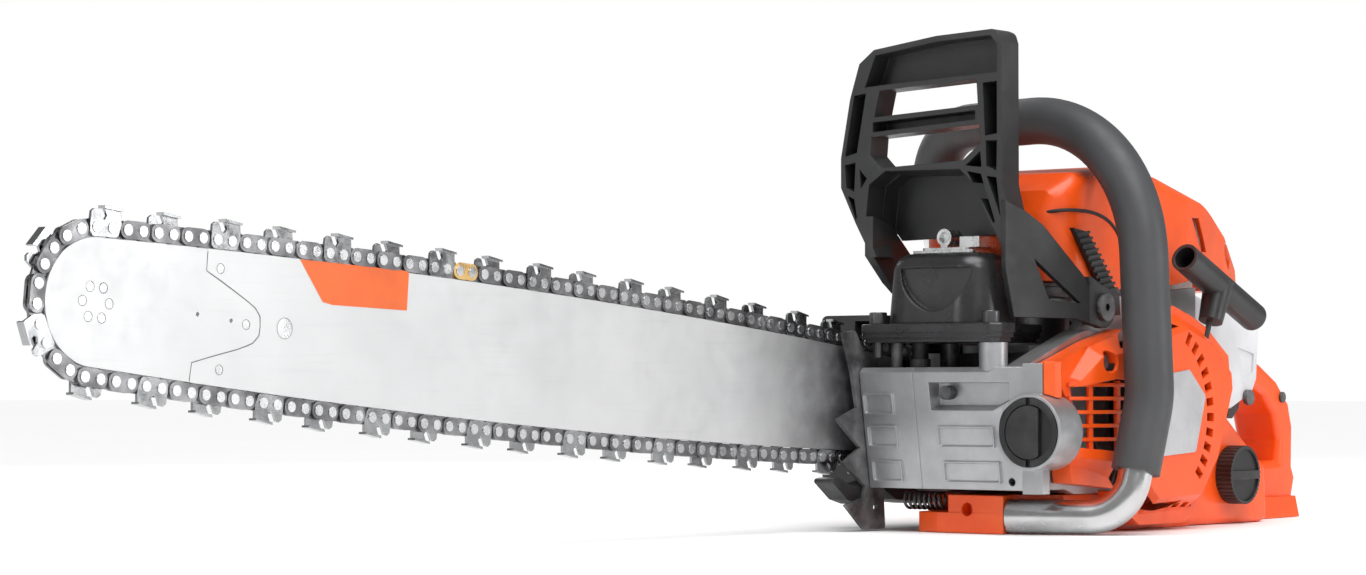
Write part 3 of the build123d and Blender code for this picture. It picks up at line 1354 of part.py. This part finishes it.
with BuildPart() as case_screws:
    with Locations((116, 31, 124), (116, -50, 124)):
        Cylinder(5.3, 7, align=(Align.CENTER, Align.CENTER, Align.MIN))
    fillet(case_screws.edges().group_by(Axis.Z)[-1], radius=0.7)
    with Locations((116, 31, 104), (116, -50, 104)):
        Cylinder(3, 21, align=(Align.CENTER, Align.CENTER, Align.MIN))
    with BuildSketch(Plane.XY.offset(131)):
        with Locations((116, 31), (116, -50)):
            RegularPolygon(2.7, 6)
            with PolarLocations(2.4, 6):
                Circle(0.55)
    extrude(amount=-3.5, mode=Mode.SUBTRACT)
    with Locations((56, 69.6, 101)):
        Cylinder(4.6, 3, rotation=(90, 0, 0))
    with Locations((114.2, -1, 83)):
        Cylinder(4.2, 6, rotation=(0, 90, 0))
    with Locations((-250, 17.8, 80)):
        Cylinder(3.6, 1.4, rotation=(90, 0, 0))
    with Locations((-160, 43.6, 80)):
        Cylinder(5, 3, rotation=(90, 0, 0))
case_screws.part.label = "case_screws"
export_step(case_screws.part, "parts/case_screws.step")
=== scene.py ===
import json
import math
import bpy
import bmesh
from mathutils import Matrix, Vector


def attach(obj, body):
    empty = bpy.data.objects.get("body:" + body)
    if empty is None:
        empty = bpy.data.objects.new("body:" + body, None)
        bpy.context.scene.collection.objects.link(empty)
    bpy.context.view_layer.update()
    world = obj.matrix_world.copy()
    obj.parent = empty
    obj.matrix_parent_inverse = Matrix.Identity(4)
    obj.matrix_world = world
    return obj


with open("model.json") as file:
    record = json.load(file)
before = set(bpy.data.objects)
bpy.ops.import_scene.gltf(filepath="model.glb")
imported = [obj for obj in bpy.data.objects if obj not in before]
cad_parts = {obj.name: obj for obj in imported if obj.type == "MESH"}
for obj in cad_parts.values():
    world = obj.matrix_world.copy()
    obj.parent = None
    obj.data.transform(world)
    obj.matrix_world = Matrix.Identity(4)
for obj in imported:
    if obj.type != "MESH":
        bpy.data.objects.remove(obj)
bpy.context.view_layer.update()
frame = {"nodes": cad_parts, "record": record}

scene = bpy.context.scene

# Metres. +X runs to the bar nose, +Y to the starter side, +Z up, and the saw stands at Z = 0.

# ------------------------------------------------------------------ camera
camera_place = (1.7492, 1.1366, 0.0826)
camera_yaw = math.radians(39.3192)      # about Z, away from looking straight back along -X
camera_pitch = math.radians(1.8)        # looking slightly up
camera_lens = 88.75
sensor_width = 36.0


def place_camera():
    """low in front of the nose, on the starter side"""
    level = math.cos(camera_pitch)
    forward = Vector((-math.cos(camera_yaw) * level, -math.sin(camera_yaw) * level, math.sin(camera_pitch)))
    data = bpy.data.cameras.new("camera")
    data.lens = camera_lens
    data.sensor_width = sensor_width
    data.clip_start = 0.05
    camera = bpy.data.objects.new("camera", data)
    scene.collection.objects.link(camera)
    camera.location = camera_place
    camera.rotation_euler = forward.to_track_quat("-Z", "Y").to_euler()
    scene.camera = camera


place_camera()


# ------------------------------------------------------ wiring of materials
class Nodes:
    """wires a procedural material round its Principled shader"""

    def __init__(self, name):
        self.mat = bpy.data.materials.new(name)
        self.mat.use_nodes = True
        self.tree = self.mat.node_tree
        self.bsdf = self.tree.nodes["Principled BSDF"]
        self.coord = self.tree.nodes.new("ShaderNodeTexCoord").outputs["Object"]

    def node(self, kind, **sockets):
        """a shader node with some sockets set, named with _ for a space"""
        made = self.tree.nodes.new("ShaderNode" + kind)
        for key, value in sockets.items():
            made.inputs[key.replace("_", " ")].default_value = value
        return made

    def link(self, a, b):
        self.tree.links.new(a, b)

    def noise(self, scale, detail=3.0, stretch=None, rough=0.55):
        made = self.node("TexNoise", Scale=scale, Detail=detail, Roughness=rough)
        if stretch:
            mapping = self.node("Mapping")
            mapping.inputs["Scale"].default_value = stretch
            self.link(self.coord, mapping.inputs["Vector"])
            self.link(mapping.outputs["Vector"], made.inputs["Vector"])
        else:
            self.link(self.coord, made.inputs["Vector"])
        return made.outputs["Fac"]

    def span(self, value, low_in, high_in, low_out, high_out):
        """maps one range of a value to another"""
        made = self.node("MapRange")
        for index, number in zip((1, 2, 3, 4), (low_in, high_in, low_out, high_out)):
            made.inputs[index].default_value = number
        self.link(value, made.inputs[0])
        return made.outputs[0]

    def math(self, operation, a, b):
        made = self.node("Math")
        made.operation = operation
        for index, value in enumerate((a, b)):
            if isinstance(value, (int, float)):
                made.inputs[index].default_value = value
            else:
                self.link(value, made.inputs[index])
        return made.outputs[0]

    def mix(self, factor, a, b):
        """colour a to colour b"""
        made = self.node("Mix")
        made.data_type = "RGBA"
        for index, value in ((6, a), (7, b)):
            if isinstance(value, tuple):
                made.inputs[index].default_value = (*value[:3], 1.0)
            else:
                self.link(value, made.inputs[index])
        if isinstance(factor, (int, float)):
            made.inputs[0].default_value = factor
        else:
            self.link(factor, made.inputs[0])
        return made.outputs[2]

    def bump(self, layers, edge=0.0):
        """layers: list of (height socket, distance in metres, strength)"""
        normal = None
        if edge:
            bevel = self.node("Bevel", Radius=edge)
            bevel.samples = 4
            normal = bevel.outputs["Normal"]
        for height, distance, strength in layers:
            made = self.node("Bump", Strength=strength, Distance=distance)
            self.link(height, made.inputs["Height"])
            if normal:
                self.link(normal, made.inputs["Normal"])
            normal = made.outputs["Normal"]
        if normal:
            self.link(normal, self.bsdf.inputs["Normal"])

    def edge_wear_and_sheen(self, colour, bright, amount=0.6, low=0.53, high=0.62):
        """lighter where the surface turns outward: rubbed edges, partly wear and partly a painted highlight
        """
        geo = self.node("NewGeometry")
        patch = self.noise(60, 4)
        # edges lighter by pointiness: part real rubbing, part painted highlight along ribs and rims
        edge_wear_and_sheen_mask = self.span(geo.outputs["Pointiness"], low, high, 0, amount)
        patchy = self.span(patch, 0.4, 0.65, 0.2, 1.0)
        return self.mix(self.math("MULTIPLY", edge_wear_and_sheen_mask, patchy), colour, bright)


def finish_material(n, colour, rough, rough_spread, metallic, noise_scale):
    """colour and roughness both vary from place to place"""
    n.link(colour, n.bsdf.inputs["Base Color"])
    patches = n.noise(noise_scale, 4)
    roughness = n.span(patches, 0.3, 0.7, rough - rough_spread, rough + rough_spread)
    n.link(roughness, n.bsdf.inputs["Roughness"])
    n.bsdf.inputs["Metallic"].default_value = metallic
    return n.mat


def shade(colour, k):
    """a colour made darker or lighter"""
    return tuple(min(1.0, c * k) for c in colour)


def plastic(name, colour, rough=0.45, grain=1400, depth=0.00006, strength=0.25, edge=0.0006, coat=0.0,
            edge_wear_and_sheen=0.35, light=None, spread=0.07):
    """moulded plastic: fine texture, slight mottling, scuffed edges that also carry a painted highlight"""
    n = Nodes(name)
    mottled = n.mix(n.span(n.noise(28, 4), 0.35, 0.65, 0, 1), shade(colour, 0.9), shade(colour, 1.07))
    base = n.edge_wear_and_sheen(mottled, light or shade(colour, 1.9), edge_wear_and_sheen)
    n.bump([(n.noise(grain, 2), depth, strength), (n.noise(45, 2), 0.0004, 0.05)], edge)
    if coat:
        n.bsdf.inputs["Coat Weight"].default_value = coat
        n.bsdf.inputs["Coat Roughness"].default_value = 0.12
    return finish_material(n, base, rough, spread, 0.0, 90)


def metal(name, colour, rough=0.35, metallic=1.0, brush=None, grain=0, edge=0.0004, edge_wear_and_sheen=0.3, dirt=0.25,
          spread=0.1, light=None, bump=0.15):
    """bare, cast or painted metal"""
    n = Nodes(name)
    tone = n.mix(n.span(n.noise(40, 5), 0.35, 0.65, 0, 1), shade(colour, 0.88), shade(colour, 1.08))
    grime = n.mix(n.span(n.noise(120, 6, rough=0.7), 0.5, 0.78, 0, dirt), tone, shade(colour, 0.28))
    # rubbed edges, lightened also as a painted highlight
    base = n.edge_wear_and_sheen(grime, light or shade(colour, 1.5), edge_wear_and_sheen)
    layers = []
    if brush:
        layers.append((n.noise(520, 3, stretch=brush), 0.00008, bump))
    if grain:
        layers.append((n.noise(grain, 3), 0.00012, bump * 2))
    layers.append((n.noise(300, 4), 0.0001, 0.06))
    n.bump(layers, edge)
    return finish_material(n, base, rough, spread, metallic, 150)


# --------------------------------------------------------------- materials
orange = (0.90, 0.088, 0.004)
charcoal = (0.019, 0.0195, 0.0205)
black = (0.007, 0.007, 0.0075)
finish = {      # by the record's material slots
    "orange_plastic": plastic("orange_plastic", orange, 0.36, grain=2400, depth=0.00003, strength=0.16,
                              edge=0.0012, coat=0.12, edge_wear_and_sheen=0.18, light=(1.0, 0.26, 0.06)),
    "grey_plastic": plastic("grey_plastic", charcoal, 0.42, grain=1900, depth=0.00008, strength=0.4,
                            edge=0.0009, edge_wear_and_sheen=0.3, light=(0.09, 0.09, 0.095)),
    "black_plastic": plastic("black_plastic", black, 0.42, grain=1800, depth=0.00006, strength=0.35,
                             edge=0.0006, edge_wear_and_sheen=0.5, light=(0.07, 0.07, 0.072)),
    "soft_grip": plastic("soft_grip", (0.052, 0.053, 0.056), 0.52, grain=2600, depth=0.00005, strength=0.35,
                         edge=0.0004, edge_wear_and_sheen=0.2, light=(0.12, 0.12, 0.12)),
    "magnesium": metal("magnesium", (0.43, 0.435, 0.445), 0.36, 0.8, grain=1300, edge=0.0008, edge_wear_and_sheen=0.3,
                       dirt=0.1, bump=0.14, spread=0.06),
    "chain_steel": metal("chain_steel", (0.10, 0.10, 0.104), 0.34, 1.0, brush=(1, 6, 6), edge=0.0002,
                         edge_wear_and_sheen=0.9, dirt=0.45, light=(0.36, 0.36, 0.37)),
    "chain_chrome": metal("chain_chrome", (0.30, 0.305, 0.312), 0.2, 1.0, brush=(1, 5, 5), edge=0.0002,
                          edge_wear_and_sheen=0.5, dirt=0.3, light=(0.6, 0.61, 0.62)),
    "gold_steel": metal("gold_steel", (0.72, 0.47, 0.2), 0.3, 1.0, brush=(1, 6, 6), edge=0.0002, edge_wear_and_sheen=0.4,
                        dirt=0.2),
    "bright_steel": metal("bright_steel", (0.6, 0.605, 0.61), 0.27, 1.0, grain=1600, edge=0.0003, edge_wear_and_sheen=0.5,
                          dirt=0.2),
    "black_steel": metal("black_steel", (0.024, 0.024, 0.026), 0.4, 0.35, grain=1500, edge=0.0004, edge_wear_and_sheen=0.9,
                         dirt=0.3, light=(0.22, 0.22, 0.225)),
    "exhaust_black": metal("exhaust_black", (0.062, 0.062, 0.064), 0.3, 0.7, grain=2200, edge=0.0016,
                           edge_wear_and_sheen=0.3, dirt=0.2, light=(0.12, 0.12, 0.125), bump=0.05, spread=0.05),
    "cast_alloy": metal("cast_alloy", (0.5, 0.505, 0.51), 0.46, 0.9, grain=900, edge=0.0005, edge_wear_and_sheen=0.4,
                        dirt=0.35),
    "tube_alloy": metal("tube_alloy", (0.62, 0.625, 0.63), 0.25, 1.0, brush=(3, 3, 1), edge=0.0003,
                        edge_wear_and_sheen=0.1, dirt=0.03, spread=0.03, bump=0.06),
    "light_panel": plastic("light_panel", (0.66, 0.67, 0.69), 0.42, grain=1900, edge=0.0009, edge_wear_and_sheen=0.2,
                           light=(0.9, 0.9, 0.9)),
    "badge_silver": metal("badge_silver", (0.55, 0.555, 0.57), 0.34, 0.55, brush=(1, 8, 8), edge=0.0004,
                          edge_wear_and_sheen=0.1, dirt=0.0, spread=0.04),
    "boot_rubber": plastic("boot_rubber", (0.018, 0.018, 0.018), 0.7, grain=1400, strength=0.4, edge_wear_and_sheen=0.3,
                           light=(0.06, 0.06, 0.06)),
    "spring_steel": metal("spring_steel", (0.11, 0.11, 0.114), 0.3, 0.9, grain=1800, edge=0.0002, edge_wear_and_sheen=0.5,
                          light=(0.3, 0.3, 0.3)),
}


def bar_paint():
    """light enamel on steel: fine lengthwise grain, with painted shade and a painted reflection of the dark
    power head darkening it towards the power head
    """
    n = Nodes("bar_paint")
    where = n.node("SeparateXYZ")
    n.link(n.coord, where.inputs[0])
    base = n.mix(n.span(n.noise(14, 4), 0.35, 0.65, 0, 1), (0.62, 0.625, 0.63), (0.68, 0.685, 0.69))
    streak = n.mix(n.span(n.noise(30, 5, stretch=(0.5, 8, 14)), 0.55, 0.8, 0, 0.16), base, (0.42, 0.42, 0.43))
    # painted shade: the bar darkens towards the power head as a painted shadow and reflection of the dark
    # body
    dark = n.span(where.outputs["X"], 0.235, 0.125, 0.0, 1.0)
    head_shade_mask = n.math("MULTIPLY", dark, n.span(n.noise(55, 5), 0.25, 0.6, 0.72, 1.0))
    head_shaded_paint = n.mix(head_shade_mask, streak, (0.075, 0.075, 0.08))
    n.bump([(n.noise(700, 3, stretch=(0.3, 3, 3)), 0.00005, 0.1), (n.noise(2400, 2), 0.00002, 0.1)], 0.0003)
    n.bsdf.inputs["Coat Weight"].default_value = 0.15
    n.bsdf.inputs["Coat Roughness"].default_value = 0.2
    return finish_material(n, head_shaded_paint, 0.34, 0.06, 0.35, 120)


def felt():
    """pale fibres of the air filter"""
    n = Nodes("filter_felt")
    base = n.mix(n.span(n.noise(700, 4), 0.35, 0.65, 0, 1), (0.6, 0.59, 0.55), (0.78, 0.77, 0.73))
    n.bump([(n.noise(1500, 4), 0.0002, 0.6)], 0.0004)
    return finish_material(n, base, 0.85, 0.05, 0.0, 300)


finish["bar_paint"] = bar_paint()
finish["filter_felt"] = felt()
finish["rope_fibre"] = plastic("rope_fibre", (0.035, 0.035, 0.037), 0.8, grain=1500, depth=0.0002,
                               strength=0.7, edge=0)


def dress_nodes():
    """every CAD node takes the material of its slot"""
    slots = {part["node"]: part["material_slot"] for part in frame["record"]["subparts"]}
    slots["exhaust_stubs"] = "black_steel"     # sooted where they meet the muffler
    for name, obj in frame["nodes"].items():
        obj.data.materials.clear()
        obj.data.materials.append(finish[slots[name]])


dress_nodes()

# ------------------------------------------------------- details on the bar
bar_tilt = math.radians(4.45)
crank_height = 0.070
bar_face = -0.07035         # Y of the face on the starter side


def on_bar(along, up, proud=0.0):
    """point on the bar's near face, in metres, from mm along and across the bar"""
    d, h = along / 1000, up / 1000
    return Vector((d * math.cos(bar_tilt) - h * math.sin(bar_tilt), bar_face + proud,
                   crank_height + d * math.sin(bar_tilt) + h * math.cos(bar_tilt)))


def add_piece(name, bm, material, body):
    """a finished mesh that rides on a body"""
    mesh = bpy.data.meshes.new(name)
    bmesh.ops.recalc_face_normals(bm, faces=bm.faces)
    bm.to_mesh(mesh)
    bm.free()
    obj = bpy.data.objects.new(name, mesh)
    scene.collection.objects.link(obj)
    mesh.materials.append(material)
    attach(obj, body)


def plate_on_bar(name, outline, material, proud=0.00005):
    """painted patch inside an outline (mm)"""
    bm = bmesh.new()
    face = bm.faces.new([bm.verts.new(on_bar(d, h, proud)) for d, h in outline])
    top = bmesh.ops.extrude_face_region(bm, geom=[face])
    for v in [g for g in top["geom"] if isinstance(g, bmesh.types.BMVert)]:
        v.co.y -= proud * 0.9
    add_piece(name, bm, material, "powerhead")


def line_on_bar(name, points, width, material, closed=False, proud=0.00004):
    """thin painted or cut line that follows points (mm) on the bar's face"""
    bm = bmesh.new()
    count = len(points)
    rows = []
    for i, (d, h) in enumerate(points):
        before = points[i - 1] if (closed or i) else points[i]
        after = points[(i + 1) % count] if (closed or i < count - 1) else points[i]
        run = Vector((after[0] - before[0], after[1] - before[1])).normalized()
        side = Vector((-run.y, run.x)) * width / 2
        rows.append([bm.verts.new(on_bar(d + side.x * k, h + side.y * k, proud)) for k in (-1, 1)])
    for i in range(count if closed else count - 1):
        a, b = rows[i], rows[(i + 1) % count]
        bm.faces.new((a[0], a[1], b[1], b[0]))
    add_piece(name, bm, material, "powerhead")


def ring(cx, cy, r, steps=28):
    """points round a circle"""
    turns = [2 * math.pi * i / steps for i in range(steps)]
    return [(cx + r * math.cos(a), cy + r * math.sin(a)) for a in turns]


bar_orange = plastic("bar_orange_paint", (0.80, 0.13, 0.02), 0.36, grain=2600, depth=0.00002,
                     strength=0.1, edge=0, edge_wear_and_sheen=0.1)
seam_dark = plastic("bar_seam_dark", (0.10, 0.10, 0.10), 0.6, grain=1500, edge=0, edge_wear_and_sheen=0.0)

# places on the bar, in mm from the crank along it and above its middle line
colour_patch = [(502.5, 36.6), (580.5, 34.3), (563, 14.6), (556, 13.8), (502.5, 16.2)]
nose_seam = [(642, 31.5), (642, 22), (631, 17.6), (617, 11.4), (608.5, 7.2), (605.2, 3.2), (604.6, -1.5),
             (605.2, -6.2), (608.8, -10.2), (619, -14.2), (634, -18.6), (648, -23), (648.9, -31.8)]
nose_centre = 710
nose_rivet_circle = 8.15
nose_rivet_count = 6
tongue_rivets = [(633, 24), (630, -25), (614, -1.5)]
rivet_radius = 2.45
plug_place = (588, -1)
plug_radius = 5.2


def edge_on_bar(name, place, radius, width=0.25):
    """dark joint round a rivet or plug set flush in the bar"""
    line_on_bar(name, ring(*place, radius), width, seam_dark, closed=True)


def bar_details():
    """colour patch, nose joint, and the edges of the rivets and the plug"""
    plate_on_bar("bar_colour_patch", colour_patch, bar_orange)
    line_on_bar("bar_nose_seam", nose_seam, 0.42, seam_dark)
    for n in range(nose_rivet_count):
        turn = 2 * math.pi * n / nose_rivet_count
        place = (nose_centre + nose_rivet_circle * math.cos(turn), nose_rivet_circle * math.sin(turn))
        edge_on_bar("nose_rivet_edge_%d" % n, place, rivet_radius, 0.28)
    for n, place in enumerate(tongue_rivets):
        edge_on_bar("tongue_rivet_edge_%d" % n, place, rivet_radius)
    edge_on_bar("bar_plug_edge", plug_place, plug_radius)


bar_details()


# ---------------------------------------------------- details on the covers
def bead(name, points, radius, material):
    """slim moulded bead along points in metres"""
    curve = bpy.data.curves.new(name, "CURVE")
    curve.dimensions = "3D"
    curve.bevel_depth = radius
    curve.bevel_resolution = 2
    line = curve.splines.new("NURBS")
    line.points.add(len(points) - 1)
    for spot, p in zip(line.points, points):
        spot.co = (*p, 1)
    line.order_u = 3
    line.use_endpoint_u = True
    obj = bpy.data.objects.new(name, curve)
    scene.collection.objects.link(obj)
    curve.materials.append(material)
    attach(obj, "powerhead")


seal_radius = 0.0011
seal_side = 0.0461          # Y of the bead on the cylinder cover's flank
seal_route = [(0.060, 0.030, 0.1905), (0.058, 0.0405, 0.1915), (0.050, seal_side, 0.192),
              (0.028, seal_side, 0.1915), (0.010, seal_side, 0.187), (-0.001, seal_side, 0.178),
              (-0.007, seal_side, 0.166), (-0.009, seal_side, 0.154)]
bead("cover_seal_side", seal_route, seal_radius, finish["boot_rubber"])


skin_gap = 0.00015          # the tail end lies this much inside the cover's skin
# X, then the cover's left and right side, underside and top there
tail_stations = [(-0.184, 0.0197, -0.0436, 0.14984, 0.16418), (-0.186, 0.019, -0.043, 0.14975, 0.163),
                 (-0.2015, 0.01098, -0.03498, 0.14907, 0.15024)]


def cover_tail_end():
    """closes the rear end of the cylinder cover between its side walls"""
    bm = bmesh.new()
    rings = []
    for x, left, right, low, top in tail_stations:
        left, right = left - skin_gap, right + skin_gap
        low, top = low + skin_gap, top - skin_gap
        corners = [(left, low), (right, low), (right, top), (left, top)]
        rings.append([bm.verts.new((x, y, z)) for y, z in corners])
    for a, b in zip(rings, rings[1:]):
        for i in range(4):
            bm.faces.new((a[i], a[(i + 1) % 4], b[(i + 1) % 4], b[i]))
    bm.faces.new(rings[0])
    bm.faces.new(rings[-1])
    add_piece("cover_tail_end", bm, finish["orange_plastic"], "powerhead")


cover_tail_end()


def split_by(obj, material, test):
    """a second material on the faces of one CAD node that test() picks"""
    obj.data.materials.append(material)
    for face in obj.data.polygons:
        if test(face.center):
            face.material_index = len(obj.data.materials) - 1


def on_muffler(spot):
    """true for the heads of the two long screws through the muffler's flange"""
    return spot.z > 0.1035 and spot.x > 0.105


split_by(frame["nodes"]["case_screws"], finish["chain_steel"], on_muffler)


# ------------------------------------------------------------ floor, lights
floor_half = 30
floor_gap = 0.0003          # the floor lies this much under the saw


def stage_floor():
    """wide sheet of white paper"""
    mesh = bpy.data.meshes.new("floor")
    bm = bmesh.new()
    bmesh.ops.create_grid(bm, x_segments=1, y_segments=1, size=floor_half)
    bm.to_mesh(mesh)
    bm.free()
    floor = bpy.data.objects.new("floor", mesh)
    scene.collection.objects.link(floor)
    floor.location = (0, 0, -floor_gap)
    n = Nodes("floor_paper")
    tone = n.mix(n.span(n.noise(3, 3), 0.3, 0.7, 0, 1), (0.96, 0.96, 0.96), (0.975, 0.975, 0.975))
    n.bump([(n.noise(60, 2), 0.0002, 0.03)])
    floor.data.materials.append(finish_material(n, tone, 0.62, 0.03, 0.0, 20))


def white_room(seen_strength, light_strength):
    """white to the camera, dimmer as a light, so that the saw keeps its contrast"""
    world = bpy.data.worlds.new("studio")
    world.use_nodes = True
    tree = world.node_tree
    shown = tree.nodes["Background"]
    soft = tree.nodes.new("ShaderNodeBackground")
    for background, strength in ((shown, seen_strength), (soft, light_strength)):
        background.inputs["Color"].default_value = (1, 1, 1, 1)
        background.inputs["Strength"].default_value = strength
    path = tree.nodes.new("ShaderNodeLightPath")
    both = tree.nodes.new("ShaderNodeMixShader")
    tree.links.new(path.outputs["Is Camera Ray"], both.inputs[0])
    tree.links.new(soft.outputs[0], both.inputs[1])
    tree.links.new(shown.outputs[0], both.inputs[2])
    tree.links.new(both.outputs[0], tree.nodes["World Output"].inputs["Surface"])
    scene.world = world


def overhead_sun(power, spread, tilt_x, tilt_y):
    """broad light from above, as from a lit ceiling; angles in degrees"""
    data = bpy.data.lights.new("overhead", "SUN")
    data.energy = power
    data.angle = math.radians(spread)
    sun = bpy.data.objects.new("overhead", data)
    scene.collection.objects.link(sun)
    sun.rotation_euler = (math.radians(tilt_x), math.radians(tilt_y), 0)


def softbox(name, place, aim, size, power):
    """rectangular lamp at a place, turned towards aim"""
    data = bpy.data.lights.new(name, "AREA")
    data.shape = "RECTANGLE"
    data.size, data.size_y = size
    data.energy = power
    light = bpy.data.objects.new(name, data)
    scene.collection.objects.link(light)
    light.location = place
    light.rotation_euler = (Vector(aim) - Vector(place)).to_track_quat("-Z", "Y").to_euler()


stage_floor()
white_room(seen_strength=1.0, light_strength=0.27)
overhead_sun(2.75, 50, -14, 16)
softbox("key", (1.2, 1.9, 1.5), (0.05, 0, 0.12), (0.7, 0.7), 11)
softbox("side", (-0.7, 1.7, 0.7), (0, 0, 0.12), (0.3, 1.1), 9)
softbox("front", (1.9, -0.7, 0.6), (0.1, 0, 0.12), (0.4, 1.0), 4)
softbox("back", (-0.7, -1.4, 1.0), (0, 0, 0.2), (1.0, 0.5), 8)
scene.view_settings.view_transform = "Standard"
scene.view_settings.look = "None"
